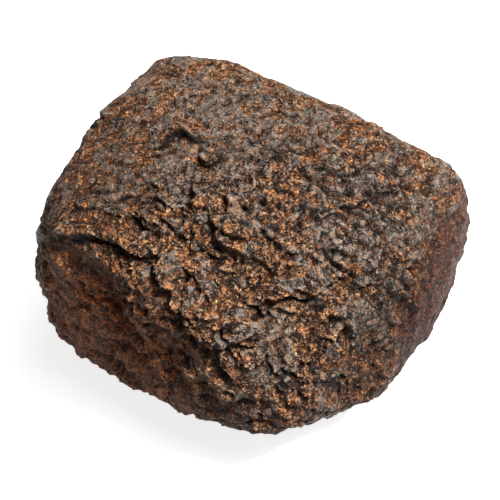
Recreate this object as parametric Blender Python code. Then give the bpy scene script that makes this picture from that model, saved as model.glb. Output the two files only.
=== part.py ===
"""A stony meteorite, one rounded and blocky stone about 129 mm long that rests on a worn flat.

The stone is worked out from its heart, a point inside it. A direction from the heart is an
azimuth and an elevation in degrees: azimuth 0 is the viewer's right (+X), 90 is away from the
viewer (+Y), and 270 is towards the viewer. Lengths are in metres, and +Z is up.
"""

import math

import bmesh
import bpy
import numpy as np

MM = 0.001

# The faces of the block before it is worn: direction as azimuth and elevation, and the
# distance of the face from the heart. They were read from the stone's outline.
SIDES = {
    "crown": (125, 62, 64 * MM),
    "top": (250, 72, 48 * MM),
    "front": (283, 40, 50 * MM),
    "nose": (262, 5, 64 * MM),
    "far_edge": (53, 44, 47.5 * MM),
    "far_top": (79, 50, 56.5 * MM),
    "far_corner": (133, 41, 73 * MM),
    "left_brow": (157, 25, 57 * MM),
    "left": (175, 6, 60.5 * MM),
    "left_low": (193, -15, 66.5 * MM),
    "left_foot": (230, -42, 56.5 * MM),
    "chin": (252, -46, 55 * MM),
    "front_foot": (290, -48, 54 * MM),
    "right_foot": (324, -35, 61 * MM),
    "right_flank": (343, -19, 62.5 * MM),
    "right": (355, -6, 67 * MM),
    "right_brow": (18, 20, 67 * MM),
    "left_cheek": (232, -2, 57 * MM),
    "right_cheek": (312, 8, 59 * MM),
    "back": (80, 0, 52 * MM),
    "back_left": (125, -10, 58 * MM),
    "back_foot": (75, -45, 48 * MM),
    "left_under": (172, -57, 49 * MM),
    "right_under": (338, -59, 50 * MM),
    "front_under": (247, -68, 42 * MM),
    "back_under": (78, -66, 42 * MM),
    "underside": (0, -90, 38 * MM),
}
SHARPNESS = 20  # a higher power leaves crisper edges between the sides
SEAT = 36.5 * MM  # the worn flat lies this far below the heart

# Parts of the surface: direction, the angle from it that the part fills whole, and the
# angle at which it has faded out.
CHIPPED = (280, 28, 34, 58)
RED_RIND = (350, -5, 27, 38)
CHEEK = (228, 2, 16, 42)
UNDERSIDE = (0, -90, 26, 52)

# Broken edges of layers: start and end direction, how far the rock drops across the edge, how
# far the lip above it and the hollow below it reach, and how far the edge bows up between its
# ends. Seen from outside and walking from start to end, the rock on the left is the higher.
LEDGES = {
    "rim": (208, 56, 209, 73, 3.6 * MM, 2.5 * MM, 6 * MM, 5 * MM),
    "crescent": (224, 65, 249, 70, 3.4 * MM, 2.5 * MM, 4 * MM, -0.8 * MM),
    "brow": (214, 39, 218, 49, 2.8 * MM, 3 * MM, 5 * MM, 0),
    "left_notch": (184, 3, 214, 20, 3 * MM, 4 * MM, 5 * MM, 1 * MM),
    "shoulder": (207, 26, 240, 31, 4.6 * MM, 6 * MM, 10 * MM, 1 * MM),
    "crest_high": (237, 31, 255, 13, 3.6 * MM, 5 * MM, 12 * MM, 1 * MM),
    "crest_low": (252, 16, 269, -1, 3.4 * MM, 5 * MM, 12 * MM, 0.5 * MM),
    "low_left": (259, 17, 275, 10, 2.8 * MM, 4 * MM, 4 * MM, -1 * MM),
    "low_middle": (275, 11, 284, 1, 2.8 * MM, 4 * MM, 4 * MM, -1 * MM),
    "nose_left": (267, 3, 271, -4, 3 * MM, 4 * MM, 6 * MM, 0),
    "nose_right": (281, 2, 287, -5, 2.8 * MM, 3 * MM, 5 * MM, 0),
    "right_lip": (310, 46, 324, 41, 3.2 * MM, 3 * MM, 4 * MM, -1.5 * MM),
    "middle_diag": (252, 47, 265, 40, 2.4 * MM, 4 * MM, 4 * MM, 0),
    "front": (266, 31, 277, 25, 2.4 * MM, 4 * MM, 4 * MM, 0),
    "front_dark": (270, 24, 279, 18, 2.8 * MM, 4 * MM, 5 * MM, 0),
    "cheek_high": (214, 21, 231, 21, 2.2 * MM, 4 * MM, 6 * MM, 1 * MM),
    "cheek_mid": (220, 6, 240, 7, 2.6 * MM, 5 * MM, 7 * MM, 1 * MM),
    "cheek_low": (243, -1, 258, -3, 2 * MM, 4 * MM, 5 * MM, 0),
    "foot_right": (299, 1, 311, -8, 2.2 * MM, 3 * MM, 5 * MM, 0),
}

# Hollows, and lumps with a depth below zero: direction, width, height, turn in degrees,
# depth, and how soft the rim is.
MARKS = {
    "left_pit": (205, 5, 7.0 * MM, 4.0 * MM, 0, 1.0 * MM, 1.0),
    "cheek_hollow_high": (224, 20, 11.0 * MM, 6.5 * MM, -20, 2.8 * MM, 1.0),
    "cheek_hollow_mid": (231, 8, 10.0 * MM, 6.0 * MM, -35, 2.4 * MM, 1.0),
    "cheek_hollow_deep": (246, 6, 12.0 * MM, 7.5 * MM, -40, 3.2 * MM, 1.0),
    "cheek_hollow_low": (225, -12, 12.0 * MM, 6.0 * MM, -30, 2.2 * MM, 1.2),
    "right_pit": (304, 1, 7.0 * MM, 4.0 * MM, -25, 2.6 * MM, 0.9),
    "right_pit_low": (299, -9, 5.0 * MM, 4.5 * MM, 0, 2.0 * MM, 1.0),
    "nose_scab": (283, 3, 5.0 * MM, 6.0 * MM, 10, -1.6 * MM, 1.0),
    "chin_notch": (233, -16, 4.0 * MM, 5.0 * MM, 30, 2.0 * MM, 0.9),
}

# Lumps and broken plates all over the stone: how wide they are and how high.
WIDE_LUMP = (38 * MM, 1.3 * MM)
SMALL_LUMP = (19 * MM, 0.8 * MM)
CHEEK_PLATE = (17 * MM, 1.2 * MM)
CHIPPED_PLATE = (10 * MM, 0.7 * MM)
CHEEK_SLOPE = 0.1  # the steepest slope of a plate, as rise over run
CHIPPED_SLOPE = 0.2
SMOOTH_SHARE = 0.45  # of the chipped plates' height that is left where the stone is worn smooth
RIND_WEAR = 0.1  # of their height that is worn off the red rind as well
LEAN = np.array([-0.24, -0.32, -0.38])  # plates stand out towards this side, and drop off there
PLATE_CRISPNESS = 30  # higher makes the edges between plates narrower
LIP_SHARE = 0.4  # of a ledge's drop that stands up as a lip; the rest is the hollow below it
STEP_WIDTH = 5 * MM  # a ledge drops within this width, which is about one facet
WANDER_WAVE = 14 * MM  # edges and plates wander from a straight line in waves of this length
WANDER = 3 * MM

FACETS_PER_EDGE = 28  # of the cube that the skin starts as: 6 x 28 x 28 small squares

CRUST_BROWN = (0.052, 0.030, 0.019, 1.0)
CRUST_ROUGHNESS = 0.62


def way(azimuth, elevation):
    """The unit vector of a direction given in degrees."""
    turn, lift = math.radians(azimuth), math.radians(elevation)
    return np.array([math.cos(turn) * math.cos(lift), math.sin(turn) * math.cos(lift), math.sin(lift)])


def block_reach(ways):
    """The worn block's distance from the heart along each way: where the lean towards the
    sides, each divided by its distance and raised to SHARPNESS, adds up to one."""
    total = np.zeros(len(ways))
    for azimuth, elevation, reach in SIDES.values():
        lean = np.maximum(ways @ way(azimuth, elevation) / reach, 0)
        total += lean**SHARPNESS
    return total ** (-1 / SHARPNESS)


def scrambled(cells, seed):
    """Three numbers from 0 to 1 for each whole-numbered cell, always the same for one seed."""
    state = np.full(len(cells), seed * 2654435761 % 2**32, np.uint32)
    for axis, prime in enumerate((73856093, 19349663, 83492791)):
        state ^= (cells[:, axis].astype(np.int64) * prime).astype(np.uint32)
        state = (state ^ (state >> 16)) * np.uint32(0x7FEB352D)
        state = (state ^ (state >> 15)) * np.uint32(0x846CA68B)
        state ^= state >> 16
    numbers = []
    for _ in range(3):
        state = (state ^ (state >> 15)) * np.uint32(0x2C1B3C6D)
        state = (state ^ (state >> 12)) * np.uint32(0x297A2D39)
        state ^= state >> 15
        numbers.append(state / 2.0**32)
    return np.stack(numbers, axis=1)


def swell(points, size, seed):
    """Smooth waviness from about -1 to 1, whose waves are about size long: a random slope at
    each corner of a lattice, blended between the corners."""
    places = points / size
    cells = np.floor(places)
    part = places - cells
    fade = part**3 * (part * (part * 6 - 15) + 10)
    total = np.zeros(len(points))
    for corner in np.ndindex(2, 2, 2):
        slope = scrambled(cells + corner, seed) * 2 - 1
        weight = np.prod(np.where(corner, fade, 1 - fade), axis=1)
        total += weight * np.sum(slope * (part - corner), axis=1)
    return total * 1.6


def plates(points, size, seed, step, slope):
    """Broken plates about size across: each cell of a scattered lattice has its own height, up to
    step above or below, and its own slope, and neighbours blend over a narrow edge."""
    places = points / size
    cells = np.floor(places)
    total = np.zeros(len(points))
    weights = np.zeros(len(points))
    for shift in np.ndindex(3, 3, 3):
        cell = cells + shift - 1
        away = places - cell - scrambled(cell, seed)
        height = step * (scrambled(cell, seed + 101)[:, 0] * 2 - 1)
        lean = scrambled(cell, seed + 202) * 2 - 1 + LEAN
        weight = np.exp(-PLATE_CRISPNESS * np.sum(away**2, axis=1))
        total += weight * (height + slope * size * np.sum(lean * away, axis=1))
        weights += weight
    return total / weights


def eased(low, high, values):
    """0 below low, 1 above high and smooth between them."""
    part = np.clip((values - low) / (high - low), 0, 1)
    return part * part * (3 - 2 * part)


def part_of_surface(ways, azimuth, elevation, whole, gone):
    """1 within the angle whole of a direction, 0 beyond the angle gone."""
    lean = ways @ way(azimuth, elevation)
    return eased(math.cos(math.radians(gone)), math.cos(math.radians(whole)), lean)


def ledge(points, start, end, drop, lip, hollow, bow):
    """A broken edge along the great circle from start to end, bowed up by bow at its middle: a
    lip that rises towards the edge on one side, and a hollow that deepens towards it on the
    other."""
    first, last = way(*start), way(*end)
    square = np.cross(first, last)
    turn = math.asin(np.linalg.norm(square))
    square /= np.linalg.norm(square)
    forward = np.cross(square, first)
    along = np.arctan2(points @ forward, points @ first) / turn
    side = points @ square - bow * 4 * along * (1 - along)
    length = eased(0, 0.25, along) * (1 - eased(0.75, 1, along))
    raised = eased(-STEP_WIDTH / 2, STEP_WIDTH / 2, side)
    above = LIP_SHARE * np.exp(-np.maximum(side, 0) / lip)
    below = (LIP_SHARE - 1) * np.exp(np.minimum(side, 0) / hollow)
    return drop * length * (raised * above + (1 - raised) * below)


def mark(points, azimuth, elevation, width, height, turn, softness):
    """A dome over an ellipse on the surface, 1 at its middle and 0 from its rim on."""
    outward = way(azimuth, elevation)
    middle = outward * block_reach(outward[None])[0]
    level = np.array([-math.sin(math.radians(azimuth)), math.cos(math.radians(azimuth)), 0.0])
    uphill = np.cross(outward, level)
    cosine, sine = math.cos(math.radians(turn)), math.sin(math.radians(turn))
    offset = points - middle
    across = offset @ (cosine * level + sine * uphill) / width
    along = offset @ (cosine * uphill - sine * level) / height
    through = offset @ outward / (width + height)
    return np.clip(1 - across**2 - along**2 - through**2, 0, 1) ** softness


def wavy(points, size, reach, seed):
    """The points, each moved by up to about reach by waves about size long."""
    return points + reach * np.stack([swell(points, size, seed + axis) for axis in range(3)], axis=1)


def relief(ways, points):
    """How far the surface stands out from the worn block at each point: lumps, then broken
    plates where the stone is chipped and on the cheek, then the ledges and the hollows."""
    bent = wavy(points, WANDER_WAVE, WANDER, seed=11)
    chipped = part_of_surface(ways, *CHIPPED)
    rough = SMOOTH_SHARE + (1 - SMOOTH_SHARE) * chipped - RIND_WEAR * part_of_surface(ways, *RED_RIND)
    height = np.zeros(len(points))
    for seed, (size, rise) in enumerate((WIDE_LUMP, SMALL_LUMP), start=1):
        height += rise * swell(points, size, seed)
    size, step = CHIPPED_PLATE
    height += rough * plates(bent, size, 5, step, CHIPPED_SLOPE)
    size, step = CHEEK_PLATE
    height += part_of_surface(ways, *CHEEK) * plates(bent, size, 9, step, CHEEK_SLOPE)
    for azimuth, elevation, end_azimuth, end_elevation, *edge_sizes in LEDGES.values():
        ends = (azimuth, elevation), (end_azimuth, end_elevation)
        height += ledge(points, *ends, *edge_sizes)
    for azimuth, elevation, width, tall, turn, depth, softness in MARKS.values():
        height -= depth * mark(points, azimuth, elevation, width, tall, turn, softness)
    return height * (1 - part_of_surface(ways, *UNDERSIDE))


def stone_mesh():
    """A cube cut into small squares, each corner moved along its own ray from the heart. One
    corner stays on one ray, so the skin can't cross itself."""
    shape = bmesh.new()
    bmesh.ops.create_cube(shape, size=2)
    bmesh.ops.subdivide_edges(
        shape, edges=shape.edges, cuts=FACETS_PER_EDGE - 1, use_grid_fill=True
    )
    cube = np.array([vertex.co for vertex in shape.verts])
    ways = np.tan(cube * math.pi / 4)  # squares of nearly one size all over the stone
    ways /= np.linalg.norm(ways, axis=1)[:, None]
    reach = block_reach(ways)
    points = ways * reach[:, None]
    points = ways * (reach + relief(ways, points))[:, None]
    points[:, 2] = np.maximum(points[:, 2], -SEAT)
    lowest, highest = points.min(axis=0), points.max(axis=0)
    points -= (*(lowest + highest)[:2] / 2, -SEAT)
    for vertex, place in zip(shape.verts, points):
        vertex.co = place
    bmesh.ops.triangulate(shape, faces=shape.faces, quad_method="SHORT_EDGE")
    bmesh.ops.recalc_face_normals(shape, faces=shape.faces)
    mesh = bpy.data.meshes.new("meteorite")
    shape.to_mesh(mesh)
    shape.free()
    return mesh


def crust_material():
    """Dark brown weathered crust, dull with a faint sheen."""
    material = bpy.data.materials.new("weathered_chondrite_crust")
    material.use_nodes = True
    shader = material.node_tree.nodes["Principled BSDF"]
    shader.inputs["Base Color"].default_value = CRUST_BROWN
    shader.inputs["Roughness"].default_value = CRUST_ROUGHNESS
    shader.inputs["Metallic"].default_value = 0.0
    return material


def main():
    for leftover in list(bpy.data.objects):
        bpy.data.objects.remove(leftover)
    mesh = stone_mesh()
    mesh.shade_smooth()
    mesh.materials.append(crust_material())
    bpy.context.scene.collection.objects.link(bpy.data.objects.new("meteorite", mesh))


main()
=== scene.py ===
"""A stony meteorite: one blocky, rounded stone with a chipped and pitted crust, on a pale floor.

The stone is worked out from its heart, a point inside it. A direction from the heart is an
azimuth and an elevation in degrees: azimuth 0 is the viewer's right (+X), 90 is away from the
viewer (+Y), and 270 is towards the viewer. Lengths are in metres, and +Z is up.
"""

import functools
import math

import bpy
import numpy as np
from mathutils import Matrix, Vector


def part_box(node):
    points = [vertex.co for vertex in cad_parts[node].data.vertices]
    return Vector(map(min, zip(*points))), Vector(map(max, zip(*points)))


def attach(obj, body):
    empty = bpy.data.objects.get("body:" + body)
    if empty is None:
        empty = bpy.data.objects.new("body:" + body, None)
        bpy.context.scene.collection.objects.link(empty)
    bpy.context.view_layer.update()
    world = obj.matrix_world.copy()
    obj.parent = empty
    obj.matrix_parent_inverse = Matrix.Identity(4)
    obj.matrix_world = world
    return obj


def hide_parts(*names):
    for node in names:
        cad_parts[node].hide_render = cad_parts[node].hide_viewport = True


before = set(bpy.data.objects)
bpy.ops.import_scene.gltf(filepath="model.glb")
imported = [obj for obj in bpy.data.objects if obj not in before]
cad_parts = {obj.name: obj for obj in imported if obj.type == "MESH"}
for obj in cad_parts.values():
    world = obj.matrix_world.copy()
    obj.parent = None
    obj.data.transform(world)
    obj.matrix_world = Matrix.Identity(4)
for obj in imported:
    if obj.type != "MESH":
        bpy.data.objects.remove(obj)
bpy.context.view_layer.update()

bl_info = {
    "name": "Meteorite",
    "version": (1, 0, 0),
    "blender": (4, 5, 0),
    "location": "3D View > Sidebar > Meteorite",
    "description": "Makes a weathered stony meteorite and the studio that it is shown in",
    "category": "Add Mesh",
}

MM = 0.001
NODE = "meteorite"

# The faces of the block before it is worn: direction as azimuth and elevation, and the
# distance of the face from the heart.
SIDES = {
    "crown": (125, 62, 64 * MM),
    "top": (250, 72, 48 * MM),
    "front": (283, 40, 50 * MM),
    "nose": (262, 5, 64 * MM),
    "far_edge": (53, 44, 47.5 * MM),
    "far_top": (79, 50, 56.5 * MM),
    "far_corner": (133, 41, 73 * MM),
    "left_brow": (157, 25, 57 * MM),
    "left": (175, 6, 60.5 * MM),
    "left_low": (193, -15, 66.5 * MM),
    "left_foot": (230, -42, 56.5 * MM),
    "chin": (252, -46, 55 * MM),
    "front_foot": (290, -48, 54 * MM),
    "right_foot": (324, -35, 61 * MM),
    "right_flank": (343, -19, 62.5 * MM),
    "right": (355, -6, 67 * MM),
    "right_brow": (18, 20, 67 * MM),
    "left_cheek": (232, -2, 57 * MM),
    "right_cheek": (312, 8, 59 * MM),
    "back": (80, 0, 52 * MM),
    "back_left": (125, -10, 58 * MM),
    "back_foot": (75, -45, 48 * MM),
    "left_under": (172, -57, 49 * MM),
    "right_under": (338, -59, 50 * MM),
    "front_under": (247, -68, 42 * MM),
    "back_under": (78, -66, 42 * MM),
    "underside": (0, -90, 38 * MM),
}
SHARP_EDGE = math.radians(38)  # an edge that turns more than this is shaded crisp
SHARPNESS = 20  # a higher power leaves crisper edges between the sides
SEAT = 36.5 * MM  # the worn flat lies this far below the heart

# Parts of the surface: azimuth and elevation of the middle, the angle from it within which the
# part is whole, and the angle at which it has faded out.
TOP_LEFT = (195, 66, 14, 44)
GREY_TOP = (245, 74, 8, 26)
GREY_RIGHT = (312, 31, 8, 28)
CHIPPED = (280, 28, 34, 58)
RED_RIND = (350, -5, 27, 38)
CHEEK = (228, 2, 16, 42)
SHADED_CHEEK = (226, -3, 14, 36)
UNDERSIDE = (0, -90, 26, 52)

# Painted light and shade for parts of the surface: how much lighter, or darker below zero, the rock
# is painted within each part.
PAINTED_SHADING_BASE = 1.03
PAINTED_PART_SHADING = {
    "cheek": (SHADED_CHEEK, 0.95),
    "centre": ((278, 34, 16, 44), 0.27),
    "left": ((193, 34, 12, 36), -0.36),
    "flank": (RED_RIND, -0.2),
    "low_right": ((309, 2, 10, 30), -0.26),
}

# Broken edges of layers: start and end direction, how far the rock drops across the edge, how
# far the lip above it and the hollow below it reach, and how far the edge bows up between its
# ends. Seen from outside and walking from start to end, the rock on the left is the higher.
LEDGES = {
    "rim": (208, 56, 209, 73, 4.6 * MM, 2.5 * MM, 6 * MM, 5 * MM),
    "crescent": (224, 65, 249, 70, 3.4 * MM, 2.5 * MM, 4 * MM, -0.8 * MM),
    "brow": (214, 39, 218, 49, 2.8 * MM, 3 * MM, 5 * MM, 0),
    "left_notch": (184, 3, 214, 20, 1.6 * MM, 4 * MM, 5 * MM, 1 * MM),
    "shoulder": (207, 26, 240, 31, 4.6 * MM, 6 * MM, 10 * MM, 1 * MM),
    "crest_high": (237, 31, 255, 13, 3.6 * MM, 5 * MM, 12 * MM, 1 * MM),
    "crest_low": (252, 16, 269, -1, 3.4 * MM, 5 * MM, 12 * MM, 0.5 * MM),
    "low_left": (259, 17, 275, 10, 2.8 * MM, 4 * MM, 4 * MM, -1 * MM),
    "low_middle": (275, 11, 284, 1, 2.8 * MM, 4 * MM, 4 * MM, -1 * MM),
    "low_step": (260, 11, 271, 5, 2.2 * MM, 3 * MM, 4 * MM, 0),
    "nose_left": (267, 3, 271, -4, 3 * MM, 4 * MM, 6 * MM, 0),
    "nose_right": (281, 2, 287, -5, 2.8 * MM, 3 * MM, 5 * MM, 0),
    "pit_edge": (288, 13, 294, 7, 2.4 * MM, 3 * MM, 4 * MM, 0.5 * MM),
    "right_lip": (310, 46, 324, 41, 3.2 * MM, 3 * MM, 4 * MM, -1.5 * MM),
    "right_cut": (299, 50, 297, 42, 2.2 * MM, 3 * MM, 4 * MM, 0),
    "right_low": (299, 34, 307, 31, 1.6 * MM, 3 * MM, 4 * MM, 0.8 * MM),
    "right_high": (323, 42, 332, 40, 2.4 * MM, 3 * MM, 4 * MM, 0),
    "right_end": (323, 38, 327, 32, 2.2 * MM, 3 * MM, 4 * MM, 0),
    "right_curl": (321, 50, 336, 52, 1.4 * MM, 2 * MM, 3 * MM, 1 * MM),
    "middle_diag": (252, 47, 265, 40, 2.4 * MM, 4 * MM, 4 * MM, 0),
    "middle_nick": (275, 46, 284, 43, 1.8 * MM, 3 * MM, 3 * MM, 0),
    "middle_left": (250, 37, 262, 35, 2 * MM, 4 * MM, 4 * MM, 0),
    "front": (266, 31, 275, 26, 1.9 * MM, 4 * MM, 4 * MM, 0),
    "front_dark": (270, 24, 279, 18, 2.8 * MM, 4 * MM, 5 * MM, 0),
    "front_right": (289, 22, 294, 18, 1.3 * MM, 3 * MM, 4 * MM, 0.5 * MM),
    "front_far": (299, 13, 304, 6, 1.6 * MM, 3 * MM, 4 * MM, 0),
    "tongue": (259, 57, 275, 52, 1.8 * MM, 4 * MM, 3 * MM, -0.5 * MM),
    "tongue_end": (266, 54, 281, 61, 1.6 * MM, 3 * MM, 3 * MM, 0),
    "left_nick": (222, 39, 238, 40, 2 * MM, 3 * MM, 4 * MM, 0),
    "left_upper": (232, 42, 252, 42, 2 * MM, 4 * MM, 4 * MM, -0.8 * MM),
    "upper_right": (328, 60, 335, 57, 1.4 * MM, 2 * MM, 3 * MM, 0),
    "rim_foot": (207, 56, 211, 62, 2.4 * MM, 2.5 * MM, 3 * MM, 0.6 * MM),
    "left_end": (208, 34, 216, 37, 1.8 * MM, 3 * MM, 4 * MM, 0),
    "cheek_high": (214, 21, 231, 21, 2.2 * MM, 4 * MM, 6 * MM, 1 * MM),
    "cheek_mid": (220, 6, 240, 7, 2.6 * MM, 5 * MM, 7 * MM, 1 * MM),
    "cheek_low": (243, -1, 258, -3, 2 * MM, 4 * MM, 5 * MM, 0),
    "foot_right": (299, 1, 311, -8, 2.2 * MM, 3 * MM, 5 * MM, 0),
}

# Hollows, and lumps with a depth below zero: direction, width, height, turn in degrees,
# depth, and how soft the rim is.
MARKS = {
    "left_pit": (205, 5, 7.0 * MM, 4.0 * MM, 0, 1.0 * MM, 1.0),
    "cheek_hollow_high": (224, 20, 11.0 * MM, 6.5 * MM, -20, 2.8 * MM, 1.0),
    "cheek_hollow_mid": (231, 8, 10.0 * MM, 6.0 * MM, -35, 2.4 * MM, 1.0),
    "cheek_hollow_deep": (246, 6, 12.0 * MM, 7.5 * MM, -40, 3.2 * MM, 1.0),
    "cheek_hollow_low": (225, -12, 12.0 * MM, 6.0 * MM, -30, 2.2 * MM, 1.2),
    "rim_hollow": (212, 67, 4.5 * MM, 5.5 * MM, 0, 1.8 * MM, 0.6),
    "right_hole": (311, 57, 2.6 * MM, 1.8 * MM, 0, 1.8 * MM, 0.7),
    "far_hole": (325, 20, 2.4 * MM, 2.2 * MM, 0, 1.6 * MM, 0.7),
    "top_hole": (296, 68, 1.6 * MM, 2.0 * MM, 20, 1.6 * MM, 0.7),
    "right_pit": (304, 1, 7.0 * MM, 4.0 * MM, -25, 2.6 * MM, 0.9),
    "right_pit_low": (299, -9, 5.0 * MM, 4.5 * MM, 0, 2.0 * MM, 1.0),
    "nose_scab": (283, 3, 5.0 * MM, 6.0 * MM, 10, -1.6 * MM, 1.0),
    "chin_notch": (233, -16, 4.0 * MM, 5.0 * MM, 30, 2.0 * MM, 0.9),
}

# Pale clasts, lumps of another rock that show as tan spots: direction, width, height and turn.
CLASTS = {
    "top_far": (132, 72, 2.2 * MM, 1.5 * MM, 0),
    "top": (335, 79, 1.8 * MM, 2.2 * MM, 20),
    "right": (317, 45, 1.8 * MM, 1.6 * MM, 0),
    "front": (295, 11, 1.8 * MM, 1.4 * MM, 0),
    "crown": (216, 68, 1.8 * MM, 2.4 * MM, 30),
    "right_end": (330, 30, 1.8 * MM, 1.4 * MM, 0),
    "left": (222, 37, 1.6 * MM, 2.0 * MM, -20),
}

CROWDED = (0.0, -0.18, 0.22)  # the squares crowd towards this side, which is seen the most
GRAIN_WAY = (0.88, -0.38, -0.28)  # the rock's grain runs along this line
GRAIN_STRETCH = 1.15  # chips are this many times longer along the grain than across it

# Waves that bend the outlines of chips and of ledges: wave length, reach and seed.
CHIP_BENDS = ((14 * MM, 3 * MM, 11), (4.5 * MM, 0.9 * MM, 51))
EDGE_BENDS = ((9 * MM, 2.2 * MM, 61), (3 * MM, 1.2 * MM, 71))

# Swells of the whole stone, and the fine swells of its grain: wave length, height and seed.
BROAD_SWELLS = ((38 * MM, 1.3 * MM, 1), (19 * MM, 0.8 * MM, 2))
GRAIN_SWELLS = ((1.9 * MM, 0.07 * MM, 41), (1.2 * MM, 0.07 * MM, 42))
SWELL_GAIN = 1.6  # brings a blend of slopes back to about -1 to 1

# Broken plates: width, seed, how far one stands above or below its place, and slope.
BROAD_PLATES = (10 * MM, 5, 0.7 * MM, 0.2)
SMALL_PLATES = (5.5 * MM, 7, 0.4 * MM, 0.26)
CHEEK_PLATES = (17 * MM, 9, 1.2 * MM, 0.1)
CHEEK_CHIPS = (7 * MM, 19, 0.45 * MM, 0.22)
CRUMBS = (1.8 * MM, 15, 0.12 * MM, 0.32)
CHIP_SEED, CHIP_SLOPE = 8, 0.24  # the chips' width and height are settings
STEP_SEED, LEAN_SEED = 101, 202  # added to a plate's seed for its height and for its slope
LEAN = np.array([-0.24, -0.32, -0.38])  # plates stand out towards this side, and drop off there
PLATE_CRISPNESS = 30  # higher makes the edges between plates narrower

LEAST_ROUGH = 0.36  # how rough the stone is where it is not chipped, as a share
RIND_SMOOTHING = 0.1  # the red rind is less rough by this
CHEEK_CHIPPING = 0.4  # the cheek is more chipped by this

# Width of the painted shade in the gap at the foot of a ledge
PAINTED_GAP_WIDTH = 0.45 * MM
HALF_STEP = 0.4 * MM  # a ledge drops over twice this width
LEDGE_TAPER = 0.25  # each end of a ledge fades over this share of its length
LIP_SHARE = 0.4  # the share of the drop that the lip stands up; the hollow takes the rest
WHOLE_DROP = 3.1 * MM  # an edge that drops further than this is whole, and others come and go
FAINTEST_EDGE = 0.3  # what is left of an edge where it fades
# The gap at the foot of a ledge gets painted shade, darkest where the edge drops this far
DEEPEST_DROP = 2.6 * MM  # an edge that drops this far has a gap as dark as they get

# Crannies: distance between them and seed, their width as a share of that distance, their
# depth, and how dark their painted shade is.
CRANNY_CELLS = (4 * MM, 31)
CRANNY_WIDTH = 0.1
CRANNY_DEPTH = 0.4 * MM
CRANNY_DARKNESS = 0.7

# Patches where edges are strong and where crannies open: wave length, seed, and the heights of
# the wave at which a patch starts and at which it is whole.
STRONG_EDGES = (5.5 * MM, 81, -0.4, 0.25)
OPEN_CRANNIES = (9 * MM, 33, -0.1, 0.4)

# The grey skin is where its spread is above zero. The spread is made of waves (wave length,
# share and seed) and of shares for parts of the surface, and is less towards the foot.
SKIN_WAVES = ((13 * MM, 0.5, 21), (4.5 * MM, 0.8, 22), (2.2 * MM, 0.4, 23))
SKIN_PARTS = (
    (GREY_TOP, 0.32), (GREY_RIGHT, 0.12), (TOP_LEFT, -0.05), (CHEEK, -0.55), (RED_RIND, -0.4),
)
SKIN_AT_FOOT = -0.2
FOOT_RISE = (-0.1, 0.35)  # the foot fades out while a direction from the heart rises like this
SKIN_EDGE = 0.06  # the skin thins out over this much spread on either side of zero
CHIPS_LOST, CRUMBS_LOST = 0.45, 0.5  # the skin hides this share of the chips, and of the rest
HOLLOW_ROUNDS = 6  # how often the surface is evened to tell its hollows from its high places

# Odd factors that scramble whole numbers. Others would do as well and give another stone.
SEED_FACTOR = 2654435761
AXIS_FACTORS = (73856093, 19349663, 83492791)
CELL_ROUNDS = ((16, 0x7FEB352D), (15, 0x846CA68B), (16, 1))
DRAW_ROUNDS = ((15, 0x2C1B3C6D), (12, 0x297A2D39), (15, 1))

# Noise in the crust's material: wave length, detail and roughness.
NOISES = {
    "frayed": (1.1 * MM, 3, 0.7),  # frays the edges of the skin, the clasts and the gaps
    "clusters": (2.8 * MM, 5, 0.7),  # gathers grains of one hue, and opens the wide cracks
    "splits": (2.6 * MM, 3, 0.65),  # greys patches of rock, and opens the narrow cracks
    "bend": (3 * MM, 3, 0.6),  # bends the cracks
    "fine": (0.8 * MM, 4, 0.75),  # roughens everything
}

# How the crust's material turns one measure into another: the first value to the third, and
# the second to the fourth.
RANGES = {
    "fray": (0, 1, -0.9, 0.9),
    "skin": (-0.05, 0.05, 0, 1),
    "cluster": (0.3, 0.7, 0, 0.6),
    "greyed": (0.46, 0.58, 0, 0.6),
    "dot": (0.42, 0.24, 0, 0.9),  # distance from a cell's middle, to a dot with a soft edge
    "dots_on_skin": (0, 1, 1, 0.9),
    "clast": (0.25, 0.8, 0, 0.5),
    "redder_below": (10 * MM, 45 * MM, 0.28, 0),  # height above the floor, to a share of red
    "facets_on_skin": (0, 1, 1, 0.5),
    # painted light and shade from the relief: the bump's height gives more light on the tops of
    # facets, and the depth of hollows gives darker hollows and lighter high places
    "tops": (0, 0.9, 0.36, 1.38),
    "worn": (0.4, -0.5, 0.42, 1.34),
    # painted shade in gaps and cracks, to the light that is left in them
    "painted_line_shade": (0.15, 0.9, 1, 0.12),  # dark lines, to the light that is left in them
    "sparkle": (0, 1, 0.62, 3),
    "roughness": (0, 1, 0.65, 0.4),
    "glint": (0.86, 0.9, 1, 0.5),  # one grain in ten is smoother, and glints
}

GRAIN_SWAY = 1.5  # noise moves a grain by up to this many of its own widths
OWN_HUE = 0.4  # the share of its hue that a grain has to itself, and not from its cluster
DOT_CELL = 0.8 * MM  # distance between specks
RIND_SHARE = 0.68  # how far the red oxide hides what is under it
CHEEK_WARMTH = (1.35, 0.92, 0.62, 1)  # the cheek's colours are multiplied by this

# Facets in the bump: width, and how steep they are.
FACETS = ((2 * MM, 0.4), (0.9 * MM, 0.8))
SKIN_BUMP = 0.15  # how far the skin stands up in the bump, where facets are about 1

# Cracks: distance between them, width as a share of it, the noise that opens them, and the
# values of that noise at which they are shut and wide open.
CRACKS = ((4.5 * MM, 0.09, "clusters", 0.5, 0.42), (2.3 * MM, 0.14, "splits", 0.43, 0.52))
CRACK_CORE = 0.02  # a crack is darkest this near to its line, as a share of the distance
CRACK_BEND = 5 * MM  # noise moves a crack by up to this much
CRACK_DEPTH = -0.8  # where facets are about 1, as in SKIN_BUMP
# How dark the painted shade in the cracks is
CRACK_DARKNESS = 0.75  # beside the darkest gap at the foot of a ledge, which is 1
BUMP_HEIGHT = 1.2 * MM  # what 1 in the bump stands for
SKIN_CALM = 0.45  # the skin evens out this share of the light and of the sparkle
CALM_LIGHT = 0.92  # the light that the skin is evened out towards
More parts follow.
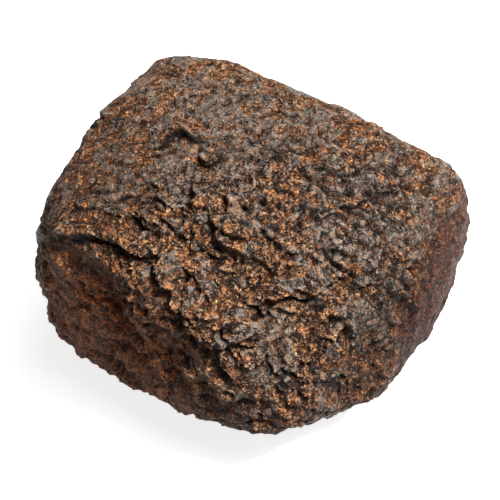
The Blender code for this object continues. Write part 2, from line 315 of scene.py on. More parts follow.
# The shade of hollows and gaps is painted into the colour.
HOLLOW_FRAY, GAP_FRAY = 0.7, 1.2  # how much the noise breaks up the shade of hollows and gaps
SPARKLE_POWER = 4  # a higher power leaves fewer bright grains

# Half of the painted light on the rock, and what its colour is multiplied by: warmer where it
# is painted dark, and bluer where it is brightest, a painted sheen.
LIGHT_STOPS = (
    (0, (0, 0, 0, 1)), (0.15, (0.15, 0.107, 0.082, 1)), (0.5, (0.52, 0.5, 0.48, 1)),
    (1, (0.84, 0.93, 1, 1)),
)

FLOOR_HALF = 3.0  # the floor reaches this far from the stone, in metres
FLOOR_GAP = 0.05 * MM
STONE_MIDDLE = (0, 0, 40 * MM)

# Soft boxes: place, width of the square, and power as a share of the key light.
SOFT_BOXES = {
    "soft_box_overhead": ((0.36, -0.14, 0.84), 0.8, 0.42),
    "soft_box_right": ((0.42, -0.22, 0.76), 0.2, 0.82),
}

CAMERA_AIM = (-1.01 * MM, -0.37 * MM, 39.56 * MM)  # the point in the middle of the picture
CAMERA_LENS = 100  # in millimetres, as the sensor's width is
CAMERA_SENSOR = 36
CAMERA_NEAREST = 10 * MM


def linear(hex_colour):
    """The scene-linear colour, with alpha 1, of an sRGB hex value such as #5a4032."""
    parts = [int(hex_colour[i : i + 2], 16) / 255 for i in (1, 3, 5)]
    return (*(p / 12.92 if p <= 0.04045 else ((p + 0.055) / 1.055) ** 2.4 for p in parts), 1.0)


def way(azimuth, elevation):
    """The unit vector of a direction given in degrees."""
    turn, lift = math.radians(azimuth), math.radians(elevation)
    level = math.cos(lift)
    return np.array([math.cos(turn) * level, math.sin(turn) * level, math.sin(lift)])


def block_reach(ways):
    """The worn block's distance from the heart along each way: where the lean towards the
    sides, each divided by its distance and raised to SHARPNESS, adds up to one."""
    total = np.zeros(len(ways))
    for azimuth, elevation, reach in SIDES.values():
        lean = np.maximum(ways @ way(azimuth, elevation) / reach, 0)
        total += lean**SHARPNESS
    return total ** (-1 / SHARPNESS)


def stirred(state, rounds):
    """Whole numbers, stirred once for each round: each is crossed (exclusive or) with itself
    shifted down, and multiplied by the round's factor."""
    for shift, factor in rounds:
        state = (state ^ (state >> shift)) * np.uint32(factor)
    return state


def scrambled(cells, seed):
    """Three numbers from 0 to 1 for each whole-numbered cell, always the same for one seed: the
    seed is crossed with each of the cell's numbers and stirred, and each draw stirs it again."""
    state = np.full(len(cells), seed * SEED_FACTOR % 2**32, np.uint32)
    for axis, factor in enumerate(AXIS_FACTORS):
        state ^= (cells[:, axis].astype(np.int64) * factor).astype(np.uint32)
        state = stirred(state, CELL_ROUNDS)
    numbers = []
    for _ in range(3):
        state = stirred(state, DRAW_ROUNDS)
        numbers.append(state / 2.0**32)
    return np.stack(numbers, axis=1)


def swell(points, size, seed):
    """Smooth waviness from about -1 to 1, whose waves are about size long: a random slope at
    each corner of a lattice, blended between the corners as 6t^5 - 15t^4 + 10t^3."""
    places = points / size
    cells = np.floor(places)
    part = places - cells
    fade = part**3 * (part * (part * 6 - 15) + 10)
    total = np.zeros(len(points))
    for corner in np.ndindex(2, 2, 2):
        slope = scrambled(cells + corner, seed) * 2 - 1
        weight = np.prod(np.where(corner, fade, 1 - fade), axis=1)
        total += weight * np.sum(slope * (part - corner), axis=1)
    return total * SWELL_GAIN


def plates(points, size, seed, step, slope):
    """Broken plates about size across: each cell of a scattered lattice has its own height, up to
    step above or below, and its own slope, and neighbours blend over a narrow edge, each with
    the weight e^(-PLATE_CRISPNESS d^2) at the distance d, in sizes, from its middle."""
    places = points / size
    cells = np.floor(places)
    total = np.zeros(len(points))
    weights = np.zeros(len(points))
    for shift in np.ndindex(3, 3, 3):
        cell = cells + shift - 1
        away = places - cell - scrambled(cell, seed)
        height = step * (scrambled(cell, seed + STEP_SEED)[:, 0] * 2 - 1)
        lean = scrambled(cell, seed + LEAN_SEED) * 2 - 1 + LEAN
        weight = np.exp(-PLATE_CRISPNESS * np.sum(away**2, axis=1))
        total += weight * (height + slope * size * np.sum(lean * away, axis=1))
        weights += weight
    return total / weights


def crannies(points, size, seed):
    """Narrow lines between cells about size across, 1 on a line and 0 away from it:
    e^(-(g / CRANNY_WIDTH)^2), where g is how much further the second nearest cell is than the
    nearest, in sizes."""
    places = points / size
    cells = np.floor(places)
    nearest = np.full(len(points), np.inf)
    second = np.full(len(points), np.inf)
    for shift in np.ndindex(3, 3, 3):
        cell = cells + shift - 1
        away = np.linalg.norm(places - cell - scrambled(cell, seed), axis=1)
        second = np.minimum(second, np.maximum(nearest, away))
        nearest = np.minimum(nearest, away)
    return np.exp(-(((second - nearest) / CRANNY_WIDTH) ** 2))


def eased(low, high, values):
    """0 below low, 1 above high and smooth between them, as 3t^2 - 2t^3."""
    part = np.clip((values - low) / (high - low), 0, 1)
    return part * part * (3 - 2 * part)


def patchy(points, size, seed, low, high):
    """0 to 1 in patches about size across: waves, with 0 below low and 1 above high."""
    return eased(low, high, swell(points, size, seed))


def part_of_surface(ways, azimuth, elevation, whole, gone):
    """1 within the angle whole of a direction, 0 beyond the angle gone, and smooth between them
    in the cosine of the angle."""
    lean = ways @ way(azimuth, elevation)
    return eased(math.cos(math.radians(gone)), math.cos(math.radians(whole)), lean)


def ledge(points, start, end, drop, lip, hollow, bow):
    """A broken edge along the great circle from start to end, bowed up by bow at its middle: a
    lip that rises towards the edge on one side, and a hollow that deepens towards it on the
    other, each as e^(-distance / reach). Also the painted shade in the gap at the foot of the
    edge at each point, from 0 to 1 where the edge is DEEPEST_DROP high."""
    first, last = way(*start), way(*end)
    square = np.cross(first, last)
    turn = math.asin(np.linalg.norm(square))
    square /= np.linalg.norm(square)
    forward = np.cross(square, first)
    along = np.arctan2(points @ forward, points @ first) / turn
    side = points @ square - bow * 4 * along * (1 - along)
    length = eased(0, LEDGE_TAPER, along) * (1 - eased(1 - LEDGE_TAPER, 1, along))
    raised = eased(-HALF_STEP, HALF_STEP, side)
    above = LIP_SHARE * np.exp(-np.maximum(side, 0) / lip)
    below = (LIP_SHARE - 1) * np.exp(np.minimum(side, 0) / hollow)
    painted_gap_shade = np.exp(-(((side + PAINTED_GAP_WIDTH) / PAINTED_GAP_WIDTH) ** 2))
    step = drop * length * (raised * above + (1 - raised) * below)
    return step, length * painted_gap_shade * drop / DEEPEST_DROP


def mark(points, azimuth, elevation, width, height, turn, softness):
    """A dome over an ellipse on the surface, 1 at its middle and 0 from its rim on: one less
    the squares of the offsets, each divided by its reach, raised to softness."""
    outward = way(azimuth, elevation)
    middle = outward * block_reach(outward[None])[0]
    level = np.array([-math.sin(math.radians(azimuth)), math.cos(math.radians(azimuth)), 0.0])
    uphill = np.cross(outward, level)
    cosine, sine = math.cos(math.radians(turn)), math.sin(math.radians(turn))
    offset = points - middle
    across = offset @ (cosine * level + sine * uphill) / width
    along = offset @ (cosine * uphill - sine * level) / height
    through = offset @ outward / (width + height)
    return np.clip(1 - across**2 - along**2 - through**2, 0, 1) ** softness


def wavy(points, size, reach, seed):
    """The points, each moved by up to about reach by waves about size long."""
    waves = [swell(points, size, seed + axis) for axis in range(3)]
    return points + reach * np.stack(waves, axis=1)


def relief(ways, points, sizes):
    """How far the surface stands out from the worn block at each point: the same swells, plates,
    ledges and hollows as the solid has, and over them the grey skin, a thin layer with broken
    edges, then chips, crannies and grain. Also, at each point, the spread of the skin, the
    painted shade in the gaps at the foot of ledges and in crannies, and how chipped the rock is."""
    bent = edge_points = points
    for bend in CHIP_BENDS:
        bent = wavy(bent, *bend)
    for bend in EDGE_BENDS:
        edge_points = wavy(edge_points, *bend)
    grain = np.array(GRAIN_WAY) / np.linalg.norm(GRAIN_WAY)
    laid = bent - (1 - 1 / GRAIN_STRETCH) * np.outer(bent @ grain, grain)

    rind = part_of_surface(ways, *RED_RIND)
    cheek = part_of_surface(ways, *CHEEK)
    rough = LEAST_ROUGH + (1 - LEAST_ROUGH) * part_of_surface(ways, *CHIPPED)
    rough -= RIND_SMOOTHING * rind
    chipped = np.minimum(rough + CHEEK_CHIPPING * cheek, 1)

    height = sum(tall * swell(points, size, seed) for size, tall, seed in BROAD_SWELLS)
    height += rough * plates(laid, *BROAD_PLATES)
    height += rough * plates(laid, *SMALL_PLATES)
    height += cheek * plates(bent, *CHEEK_PLATES)
    height += cheek * plates(laid, *CHEEK_CHIPS)

    strength = FAINTEST_EDGE + (1 - FAINTEST_EDGE) * patchy(points, *STRONG_EDGES)
    painted_gap_shades = np.zeros(len(points))
    for azimuth, elevation, end_azimuth, end_elevation, *edge_sizes in LEDGES.values():
        ends = (azimuth, elevation), (end_azimuth, end_elevation)
        step, painted_gap_shade = ledge(edge_points, *ends, *edge_sizes)
        share = 1 if edge_sizes[0] > WHOLE_DROP else strength
        height += share * step
        painted_gap_shades = np.maximum(painted_gap_shades, share * painted_gap_shade)
    for azimuth, elevation, width, tall, turn, depth, softness in MARKS.values():
        height -= depth * mark(edge_points, azimuth, elevation, width, tall, turn, softness)

    spread = sum(
        share * swell(where, size, seed)
        for where, (size, share, seed) in zip((bent, bent, points), SKIN_WAVES)
    )
    spread += sum(share * part_of_surface(ways, *part) for part, share in SKIN_PARTS)
    spread += SKIN_AT_FOOT * (1 - eased(*FOOT_RISE, ways[:, 2]))
    skin = eased(-SKIN_EDGE, SKIN_EDGE, spread)
    height += sizes.skin_thickness * skin
    chips = plates(bent, sizes.chip_size, CHIP_SEED, sizes.chip_height, CHIP_SLOPE)
    height += chipped * (1 - CHIPS_LOST * skin) * chips
    height += chipped * (1 - CRUMBS_LOST * skin) * plates(bent, *CRUMBS)
    lines = crannies(laid, *CRANNY_CELLS) * patchy(points, *OPEN_CRANNIES)
    height -= CRANNY_DEPTH * chipped * (1 - CRUMBS_LOST * skin) * lines
    # Crannies get painted shade as well.
    painted_gap_shades = np.maximum(painted_gap_shades, CRANNY_DARKNESS * rough * lines)
    height += sum(tall * swell(bent, size, seed) for size, tall, seed in GRAIN_SWELLS)
    return height * (1 - part_of_surface(ways, *UNDERSIDE)), spread, painted_gap_shades, chipped


def cube_skin(squares):
    """Unit ways to the corners of a net of squares, and the squares as corner numbers. Each of a
    cube's six faces is a grid of u and v, and the tangent of an even angle makes the squares of
    nearly one size. Each way plus CROWDED, made a unit again, crowds them towards that side.
    Corners on a border are shared, so the net is closed."""
    u, v = np.meshgrid(np.arange(squares + 1), np.arange(squares + 1), indexing="ij")
    grids = []
    for axis in range(3):
        for side in (0, squares):
            grid = np.empty((squares + 1, squares + 1, 3), np.int64)
            grid[..., axis] = side
            grid[..., (axis + 1) % 3] = u if side else v
            grid[..., (axis + 2) % 3] = v if side else u
            grids.append(grid)
    corners, number = np.unique(np.concatenate(grids).reshape(-1, 3), axis=0, return_inverse=True)
    number = number.reshape(6, squares + 1, squares + 1)
    ring = (number[:, :-1, :-1], number[:, 1:, :-1], number[:, 1:, 1:], number[:, :-1, 1:])
    ways = np.tan((corners / squares * 2 - 1) * math.pi / 4)
    ways = ways / np.linalg.norm(ways, axis=1)[:, None] + CROWDED
    return ways / np.linalg.norm(ways, axis=1)[:, None], np.stack(ring, axis=-1).reshape(-1, 4)


def evened(values, quads, rounds):
    """Values at the corners, each replaced by the mean over its squares, several times."""
    count = np.bincount(quads.ravel(), minlength=len(values))
    for _ in range(rounds):
        mean = values[quads].mean(axis=1)
        values = np.bincount(quads.ravel(), np.repeat(mean, 4), len(values)) / count
    return values


def mesh_of(name, points, quads, layers):
    """A smooth mesh of squares, with each layer of numbers stored on its corners."""
    mesh = bpy.data.meshes.new(name)
    mesh.vertices.add(len(points))
    mesh.vertices.foreach_set("co", points.ravel())
    mesh.loops.add(quads.size)
    mesh.loops.foreach_set("vertex_index", quads.ravel().astype(np.int32))
    mesh.polygons.add(len(quads))
    mesh.polygons.foreach_set("loop_start", np.arange(0, quads.size, 4, dtype=np.int32))
    mesh.update(calc_edges=True)
    mesh.validate()
    mesh.shade_smooth()
    mesh.set_sharp_from_angle(angle=SHARP_EDGE)
    for layer, values in layers.items():
        stored = mesh.attributes.new(layer, "FLOAT", "POINT")
        stored.data.foreach_set("value", values.astype(np.float32))
    return mesh


def add_node(tree, kind, inputs=(), **settings):
    """Adds a node with its settings. inputs holds a value, or the socket to read, for each
    input: for the first ones in their order, or by name or number."""
    node = tree.nodes.new(kind)
    for name, value in settings.items():
        setattr(node, name, value)
    named = inputs if isinstance(inputs, dict) else dict(enumerate(inputs))
    for name, value in named.items():
        if isinstance(value, bpy.types.NodeSocket):
            tree.links.new(value, node.inputs[name])
        else:
            node.inputs[name].default_value = value
    return node


def set_ramp(node, stops, interpolation="LINEAR"):
    """Gives a Color Ramp its stops, as (place, colour) pairs, and returns its colour socket."""
    ramp = node.color_ramp
    ramp.interpolation = interpolation
    while len(ramp.elements) < len(stops):
        ramp.elements.new(0.5)
    for element, (place, colour) in zip(ramp.elements, stops):
        element.position = place
        element.color = colour
    return node.outputs["Color"]


class MeteoriteSizes(bpy.types.PropertyGroup):
    """Sizes of the fine surface, which the solid leaves out."""

    squares: bpy.props.IntProperty(
        name="Squares per edge", description="Squares along each edge of the net over the stone",
        default=128, min=16, max=128,
    )
    skin_thickness: bpy.props.FloatProperty(
        name="Skin thickness", description="How far the grey skin stands above broken rock",
        default=0.5 * MM, unit="LENGTH",
    )
    chip_size: bpy.props.FloatProperty(
        name="Chip size", description="Width of the smallest broken chips",
        default=3.4 * MM, unit="LENGTH",
    )
    chip_height: bpy.props.FloatProperty(
        name="Chip height", description="Height of the smallest broken chips",
        default=0.18 * MM, unit="LENGTH",
    )
    grain: bpy.props.FloatProperty(
        name="Grain", description="Width of one mineral grain or rust fleck",
        default=0.45 * MM, unit="LENGTH",
    )


class MeteoriteColours(bpy.types.PropertyGroup):
    """Colours of the minerals in the crust."""

    rock: bpy.props.FloatVectorProperty(
        name="Rock", description="Broken rock between the grains",
        subtype="COLOR", size=4, default=linear("#ab805c"),
    )
    shade: bpy.props.FloatVectorProperty(
        name="Dark rock", description="The dark share of the rock's grains",
        subtype="COLOR", size=4, default=linear("#3c2113"),
    )
    rust: bpy.props.FloatVectorProperty(
        name="Rust", description="Iron oxide around weathered metal grains",
        subtype="COLOR", size=4, default=linear("#bd6a2b"),
    )
    tan: bpy.props.FloatVectorProperty(
        name="Tan", description="Pale silicate grains",
        subtype="COLOR", size=4, default=linear("#d6ab7c"),
    )
    skin: bpy.props.FloatVectorProperty(
        name="Grey skin", description="The worn remains of the outer skin",
        subtype="COLOR", size=4, default=linear("#80766e"),
    )
    # Black: opaque grains, and tiny pits shown as painted shade.
    black: bpy.props.FloatVectorProperty(
        name="Black", description="Pits and opaque grains",
        subtype="COLOR", size=4, default=linear("#140b07"),
    )
    rind: bpy.props.FloatVectorProperty(
        name="Red rind", description="Red-brown oxide on the right flank",
        subtype="COLOR", size=4, default=linear("#5e2a1d"),
    )


class MeteoriteStudio(bpy.types.PropertyGroup):
    """The floor, the lights and the camera."""

    elevation: bpy.props.FloatProperty(
        name="Camera elevation", description="How far the camera looks down on the stone",
        default=math.radians(40), subtype="ANGLE",
    )
    distance: bpy.props.FloatProperty(
        name="Camera distance", description="From the camera to the middle of the stone",
        default=421 * MM, unit="LENGTH",
    )
    key: bpy.props.FloatProperty(
        name="Key light", description="Power that each soft box gives its share of",
        default=13.9, unit="POWER",
    )
    fill: bpy.props.FloatProperty(
        name="Fill", description="Strength of the white surroundings", default=0.09,
    )
    glow: bpy.props.FloatProperty(
        name="Floor glow", description="Light that comes up through the floor", default=0.8,
    )
    floor: bpy.props.FloatVectorProperty(
        name="Floor", description="Colour of the pale floor",
        subtype="COLOR", size=4, default=linear("#e8e7e6"),
    )


def crust_material(sizes, colours):
    """Weathered ordinary chondrite, a stone of fine silicate grains and metal specks that has
    rusted. The eye sees dark brown rock speckled with orange and tan grains, smoother grey
    skin on the high places, near-black hollows, and a dull sheen that breaks up on the grain."""
    material = bpy.data.materials.new("weathered_chondrite_crust")
    material.use_nodes = True
    tree = material.node_tree
    shader = tree.nodes["Principled BSDF"]
    add = functools.partial(add_node, tree)
    place = add("ShaderNodeTexCoord").outputs["Object"]
    # Some of these layers carry painted shade in gaps and crannies, the depth of hollows that are
    # painted darker, and painted light and shade for parts of the surface.
    spread, hollow, painted_gap_shade, chipped, clast, rind, cheek_warmth, painted_part_shading = (
        add("ShaderNodeAttribute", attribute_name=name).outputs["Fac"]
        for name in ("spread", "hollow", "painted_gap_shade", "chipped", "clast", "rind", "cheek_warmth", "painted_part_shading")
    )
    noises = {
        name: add(
            "ShaderNodeTexNoise",
            {"Vector": place, "Scale": 1 / size, "Detail": detail, "Roughness": roughness},
        ).outputs
        for name, (size, detail, roughness) in NOISES.items()
    }

    # The grey skin, with an edge that the noise frays.
    fray = add("ShaderNodeMapRange", (noises["frayed"][0], *RANGES["fray"])).outputs[0]
    skin_level = add("ShaderNodeMath", (spread, fray), operation="ADD").outputs[0]
    skin = add("ShaderNodeMapRange", (skin_level, *RANGES["skin"])).outputs[0]

    # Mineral grains: each cell is one grain with a kind of its own, and a hue that it shares in
    # part with its neighbours. Patches of the rock are greyed towards the skin's colours.
    sway = add(
        "ShaderNodeTexNoise", {"Vector": place, "Scale": 1 / (2 * sizes.grain), "Detail": 2},
    ).outputs["Color"]
    strewn = add(
        "ShaderNodeVectorMath", (sway, (GRAIN_SWAY * sizes.grain,) * 3, place),
        operation="MULTIPLY_ADD",
    ).outputs[0]
    grains = add("ShaderNodeTexVoronoi", {"Vector": strewn, "Scale": 1 / sizes.grain})
    own_hue, smoothness, brightness = add(
        "ShaderNodeSeparateColor", (grains.outputs["Color"],),
    ).outputs
    cluster = add("ShaderNodeMapRange", (noises["clusters"][0], *RANGES["cluster"])).outputs[0]
    hue = add("ShaderNodeMath", (own_hue, OWN_HUE, cluster), operation="MULTIPLY_ADD").outputs[0]
    rock = set_ramp(
        add("ShaderNodeValToRGB", (hue,)),
        [(0.1, colours.shade), (0.35, colours.rock), (0.55, colours.rock), (0.7, colours.rust),
         (0.85, colours.tan)],
    )
    skin_colour = set_ramp(
        add("ShaderNodeValToRGB", (hue,)),
        [(0.1, colours.shade), (0.3, colours.skin), (0.6, colours.skin), (0.75, colours.rock),
         (0.9, colours.rust)],
    )
    greyed = add("ShaderNodeMapRange", (noises["splits"][0], *RANGES["greyed"])).outputs[0]
    colour = add("ShaderNodeMix", {0: greyed, 6: rock, 7: skin_colour}, data_type="RGBA").outputs[2]
    colour = add("ShaderNodeMix", {0: skin, 6: colour, 7: skin_colour}, data_type="RGBA").outputs[2]

    # Specks: a round dot in some of the cells, of opaque mineral, iron oxide or pale silicate,
    # and none where the ramp is clear. The black dots also stand for tiny pits, as painted shade.
    dots = add("ShaderNodeTexVoronoi", {"Vector": strewn, "Scale": 1 / DOT_CELL})
    dot_kind = add("ShaderNodeSeparateColor", (dots.outputs["Color"],)).outputs[0]
    dot_ramp = add("ShaderNodeValToRGB", (dot_kind,))
    dot_colour = set_ramp(
        dot_ramp,
        [(0, colours.black), (0.14, (0, 0, 0, 0)), (0.6, colours.rust), (0.78, colours.tan)],
        "CONSTANT",
    )
    dot = add("ShaderNodeMapRange", (dots.outputs["Distance"], *RANGES["dot"])).outputs[0]
    room = add("ShaderNodeMapRange", (skin, *RANGES["dots_on_skin"])).outputs[0]
    dot = add("ShaderNodeMath", (dot_ramp.outputs["Alpha"], dot), operation="MULTIPLY").outputs[0]
    dot = add("ShaderNodeMath", (dot, room), operation="MULTIPLY").outputs[0]
    colour = add("ShaderNodeMix", {0: dot, 6: colour, 7: dot_colour}, data_type="RGBA").outputs[2]

    # Clasts: tan spots with a frayed edge.
    clast = add("ShaderNodeMath", (clast, fray), operation="ADD").outputs[0]
    clast = add("ShaderNodeMapRange", (clast, *RANGES["clast"])).outputs[0]
    colour = add(
        "ShaderNodeMix", {0: clast, 6: colour, 7: colours.tan}, data_type="RGBA",
    ).outputs[2]

    # Red oxide on the right flank, and a redder tint all over towards the bottom. The shaded
    # cheek is tinted warmer: its colours are multiplied, so its grains keep their contrast.
    level = add("ShaderNodeSeparateXYZ", (place,)).outputs["Z"]
    redder_below = add("ShaderNodeMapRange", (level, *RANGES["redder_below"])).outputs[0]
    red = add(
        "ShaderNodeMath", (rind, RIND_SHARE, redder_below), operation="MULTIPLY_ADD", use_clamp=True,
    ).outputs[0]
    colour = add("ShaderNodeMix", {0: red, 6: colour, 7: colours.rind}, data_type="RGBA").outputs[2]
    warmth = add(
        "ShaderNodeMix", {0: cheek_warmth, 6: (1, 1, 1, 1), 7: CHEEK_WARMTH}, data_type="RGBA",
    ).outputs[2]
    colour = add("ShaderNodeVectorMath", (colour, warmth), operation="MULTIPLY").outputs[0]

    # Broken facets too fine for the mesh: each cell is a flat chip with a slope of its own.
    facets = []
    for size, steepness in FACETS:
        cells = add("ShaderNodeTexVoronoi", {"Vector": strewn, "Scale": 1 / size}).outputs
        away = add(
            "ShaderNodeVectorMath", (strewn, cells["Position"]), operation="SUBTRACT",
        ).outputs[0]
        slope = add(
            "ShaderNodeVectorMath", (cells["Color"], (0.5, 0.5, 0.5)), operation="SUBTRACT",
        ).outputs[0]
        rise = add(
            "ShaderNodeVectorMath", (away, slope), operation="DOT_PRODUCT",
        ).outputs["Value"]
        facets.append(
            add("ShaderNodeMath", (rise, 2 * steepness / MM), operation="MULTIPLY").outputs[0]
        )
    facet = add("ShaderNodeMath", facets, operation="ADD").outputs[0]
    broken = add("ShaderNodeMapRange", (skin, *RANGES["facets_on_skin"])).outputs[0]
    height = add(
        "ShaderNodeMath", (facet, broken, noises["fine"][0]), operation="MULTIPLY_ADD",
    ).outputs[0]
    height = add("ShaderNodeMath", (skin, SKIN_BUMP, height), operation="MULTIPLY_ADD").outputs[0]

    # Cracks: the lines between bent cells. Wide ones open where the noise of the clusters is
    # low, and narrow ones on chipped rock where the noise of the splits is high.
    bent = add(
        "ShaderNodeVectorMath", (noises["bend"]["Color"], (CRACK_BEND,) * 3, place),
        operation="MULTIPLY_ADD",
    ).outputs[0]
    cracks = []
    for size, width, mask, painted_line_shade, wide in CRACKS:
        distance = add(
            "ShaderNodeTexVoronoi", {"Vector": bent, "Scale": 1 / size},
            feature="DISTANCE_TO_EDGE",
        ).outputs["Distance"]
        line = add("ShaderNodeMapRange", (distance, width, CRACK_CORE, 0, 1)).outputs[0]
        opened = add("ShaderNodeMapRange", (noises[mask][0], painted_line_shade, wide, 0, 1)).outputs[0]
        cracks.append(add("ShaderNodeMath", (line, opened), operation="MULTIPLY").outputs[0])
    narrow = add("ShaderNodeMath", (cracks[1], chipped), operation="MULTIPLY").outputs[0]
    crack = add("ShaderNodeMath", (cracks[0], narrow), operation="MAXIMUM").outputs[0]
    height = add(
        "ShaderNodeMath", (crack, CRACK_DEPTH, height), operation="MULTIPLY_ADD",
    ).outputs[0]
    bump = add("ShaderNodeBump", {"Height": height, "Distance": BUMP_HEIGHT, "Strength": 1})
    tree.links.new(bump.outputs["Normal"], shader.inputs["Normal"])

    # Painted light and shade in the rock's colour: lighter on the tops of facets and on high
    # places, darker in hollows, gaps and cracks, and lighter or darker for each part of the
    # surface. A few grains are brighter, and the skin is more even than the rock.
    calm = add("ShaderNodeMath", (skin, SKIN_CALM), operation="MULTIPLY").outputs[0]
    tops = add("ShaderNodeMapRange", (height, *RANGES["tops"])).outputs[0]
    light = add("ShaderNodeMix", {0: calm, 2: tops, 3: CALM_LIGHT}).outputs[0]
    hollow = add("ShaderNodeMath", (fray, HOLLOW_FRAY, hollow), operation="MULTIPLY_ADD").outputs[0]
    worn = add("ShaderNodeMapRange", (hollow, *RANGES["worn"])).outputs[0]
    frayed = add("ShaderNodeMath", (fray, GAP_FRAY, 1), operation="MULTIPLY_ADD").outputs[0]
    painted_gap_shade = add("ShaderNodeMath", (frayed, painted_gap_shade), operation="MULTIPLY").outputs[0]
    dark = add("ShaderNodeMath", (crack, CRACK_DARKNESS, painted_gap_shade), operation="MULTIPLY_ADD").outputs[0]
    painted_line_shade = add("ShaderNodeMapRange", (dark, *RANGES["painted_line_shade"])).outputs[0]
    bright = add("ShaderNodeMath", (brightness, SPARKLE_POWER), operation="POWER").outputs[0]
    sparkle = add("ShaderNodeMapRange", (bright, *RANGES["sparkle"])).outputs[0]
    sparkle = add("ShaderNodeMix", {0: calm, 2: sparkle, 3: 1}).outputs[0]
    for factor in (worn, painted_part_shading, painted_line_shade, sparkle):
        light = add("ShaderNodeMath", (light, factor), operation="MULTIPLY").outputs[0]

    # A ramp reads no more than 1, so it gets half of the light, and the colour is doubled.
    half = add("ShaderNodeMath", (light, 0.5), operation="MULTIPLY").outputs[0]
    lit = set_ramp(add("ShaderNodeValToRGB", (half,)), LIGHT_STOPS)
    colour = add("ShaderNodeVectorMath", (colour, lit), operation="MULTIPLY").outputs[0]
    colour = add("ShaderNodeVectorMath", {0: colour, "Scale": 2}, operation="SCALE").outputs[0]
    tree.links.new(colour, shader.inputs["Base Color"])

    # Sheen: the skin is smoother than the rock, and some grains are smoother than both.
    sheen = add("ShaderNodeMapRange", (skin, *RANGES["roughness"])).outputs[0]
    glint = add("ShaderNodeMapRange", (smoothness, *RANGES["glint"])).outputs[0]
    sheen = add("ShaderNodeMath", (sheen, glint), operation="MULTIPLY").outputs[0]
    tree.links.new(sheen, shader.inputs["Roughness"])
    shader.inputs["IOR"].default_value = 1.5
    shader.inputs["Specular IOR Level"].default_value = 0.3
    return material


def floor_material(colour, glow):
    """White acrylic lit from below, which shows as an even white surface that only takes a pale,
    soft shadow."""
    material = bpy.data.materials.new("lit_white_acrylic")
    material.use_nodes = True
    shader = material.node_tree.nodes["Principled BSDF"]
    shader.inputs["Base Color"].default_value = colour
    shader.inputs["Roughness"].default_value = 0.9
    shader.inputs["Specular IOR Level"].default_value = 0
    shader.inputs["Emission Color"].default_value = (1, 1, 1, 1)
    shader.inputs["Emission Strength"].default_value = glow
    return material


def add_object(name, mesh):
    """Adds an object to the scene, at the origin, for a mesh, a light or a camera."""
    made = bpy.data.objects.new(name, mesh)
    bpy.context.scene.collection.objects.link(made)
    return made


class MeteoriteMakeStone(bpy.types.Operator):
    """Makes the stone with its chips, skin, crannies and grain, in place of the solid"""

    bl_idname = "meteorite.stone"
    bl_label = "Make the stone"

    def execute(self, context):
        # Each corner is on the block, pushed out along its way by the relief. What is below the
        # seat is cut flat there, and all is stretched a little to fill the solid's box.
        sizes = context.scene.meteorite_sizes
        ways, quads = cube_skin(sizes.squares)
        reach = block_reach(ways)
        block = ways * reach[:, None]
        height, spread, painted_gap_shades, chipped = relief(ways, block, sizes)
        points = ways * (reach + height)[:, None]
        points[:, 2] = np.maximum(points[:, 2], -SEAT)
        lowest, highest = (np.array(corner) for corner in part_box(NODE))
        span = points.max(axis=0) - points.min(axis=0)
        points = lowest + (points - points.min(axis=0)) * (highest - lowest) / span
        # Some layers carry painted light and shade: shade in gaps at the foot of ledges and in
        # crannies, the depth of hollows that are painted darker, and lighter or darker parts of the
        # surface.
        layers = {
            "spread": spread,
            "painted_gap_shade": painted_gap_shades,
            "chipped": chipped,
            "clast": sum(mark(block, *clast, softness=0.5) for clast in CLASTS.values()),
            "hollow": (evened(height, quads, HOLLOW_ROUNDS) - height) / MM,
            "cheek_warmth": part_of_surface(ways, *SHADED_CHEEK),
            "painted_part_shading": PAINTED_SHADING_BASE
            + sum(share * part_of_surface(ways, *part) for part, share in PAINTED_PART_SHADING.values()),
            "rind": part_of_surface(ways, *RED_RIND),
        }
        stone = add_object("meteorite_stone", mesh_of("meteorite_stone", points, quads, layers))
        stone.data.materials.append(crust_material(sizes, context.scene.meteorite_colours))
        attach(stone, "root")
        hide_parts(NODE)
        return {"FINISHED"}


def add_light(name, place, aim, size, power):
    """A square area light that faces the point aim."""
    lamp = bpy.data.lights.new(name, "AREA")
    lamp.size = size
    lamp.energy = power
    light = add_object(name, lamp)
    light.location = place
    light.rotation_euler = (Vector(place) - Vector(aim)).to_track_quat("Z", "Y").to_euler()


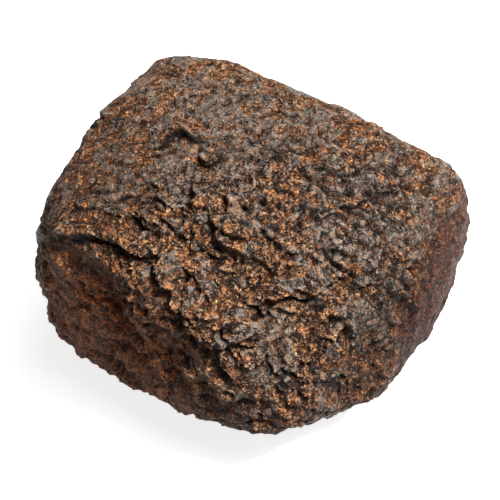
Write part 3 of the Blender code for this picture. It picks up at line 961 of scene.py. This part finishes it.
class MeteoriteMakeStage(bpy.types.Operator):
    """Makes the floor, the soft lights and the camera"""

    bl_idname = "meteorite.stage"
    bl_label = "Make the stage"

    def execute(self, context):
        studio = context.scene.meteorite_studio
        corners = FLOOR_HALF * np.array([(-1, -1, 0), (1, -1, 0), (1, 1, 0), (-1, 1, 0)])
        floor = add_object("floor", mesh_of("floor", corners, np.array([[0, 1, 2, 3]]), {}))
        floor.location.z = -FLOOR_GAP
        floor.data.materials.append(floor_material(studio.floor, studio.glow))
        # The floor's white bounce would wash out the stone's dark side, so bounced light doesn't
        # see the floor, and the floor doesn't shade the stone from the white room below it.
        floor.visible_diffuse = False
        floor.visible_shadow = False

        for name, (place, width, share) in SOFT_BOXES.items():
            add_light(name, place, STONE_MIDDLE, width, share * studio.key)

        world = bpy.data.worlds.new("white_room")
        world.use_nodes = True
        background = world.node_tree.nodes["Background"]
        background.inputs["Color"].default_value = (1, 1, 1, 1)
        background.inputs["Strength"].default_value = studio.fill
        context.scene.world = world
        context.scene.view_settings.view_transform = "Standard"

        camera = add_object("camera", bpy.data.cameras.new("camera"))
        camera.data.lens = CAMERA_LENS
        camera.data.sensor_width = CAMERA_SENSOR
        camera.data.clip_start = CAMERA_NEAREST
        lift = studio.elevation
        back = Vector((0, -math.cos(lift), math.sin(lift)))
        camera.location = Vector(CAMERA_AIM) + back * studio.distance
        camera.rotation_euler = back.to_track_quat("Z", "Y").to_euler()
        context.scene.camera = camera
        return {"FINISHED"}


class MeteoritePanel(bpy.types.Panel):
    """Lists the pieces and the stage"""

    bl_idname = "VIEW3D_PT_meteorite"
    bl_label = "Meteorite"
    bl_space_type = "VIEW_3D"
    bl_region_type = "UI"
    bl_category = "Meteorite"

    def draw(self, context):
        scene = context.scene
        for settings in (scene.meteorite_sizes, scene.meteorite_colours, scene.meteorite_studio):
            for name in settings.__annotations__:
                self.layout.prop(settings, name)
        self.layout.operator(MeteoriteMakeStone.bl_idname)
        self.layout.operator(MeteoriteMakeStage.bl_idname)


CLASSES = (
    MeteoriteSizes, MeteoriteColours, MeteoriteStudio,
    MeteoriteMakeStone, MeteoriteMakeStage, MeteoritePanel,
)


def register():
    """Makes the classes known to Blender, and gives each scene its settings."""
    for entry in CLASSES:
        bpy.utils.register_class(entry)
    bpy.types.Scene.meteorite_sizes = bpy.props.PointerProperty(type=MeteoriteSizes)
    bpy.types.Scene.meteorite_colours = bpy.props.PointerProperty(type=MeteoriteColours)
    bpy.types.Scene.meteorite_studio = bpy.props.PointerProperty(type=MeteoriteStudio)


def unregister():
    """Takes back what register did."""
    del bpy.types.Scene.meteorite_studio
    del bpy.types.Scene.meteorite_colours
    del bpy.types.Scene.meteorite_sizes
    for entry in reversed(CLASSES):
        bpy.utils.unregister_class(entry)


def main():
    register()
    bpy.ops.meteorite.stone()
    bpy.ops.meteorite.stage()


if __name__ == "__main__":
    main()
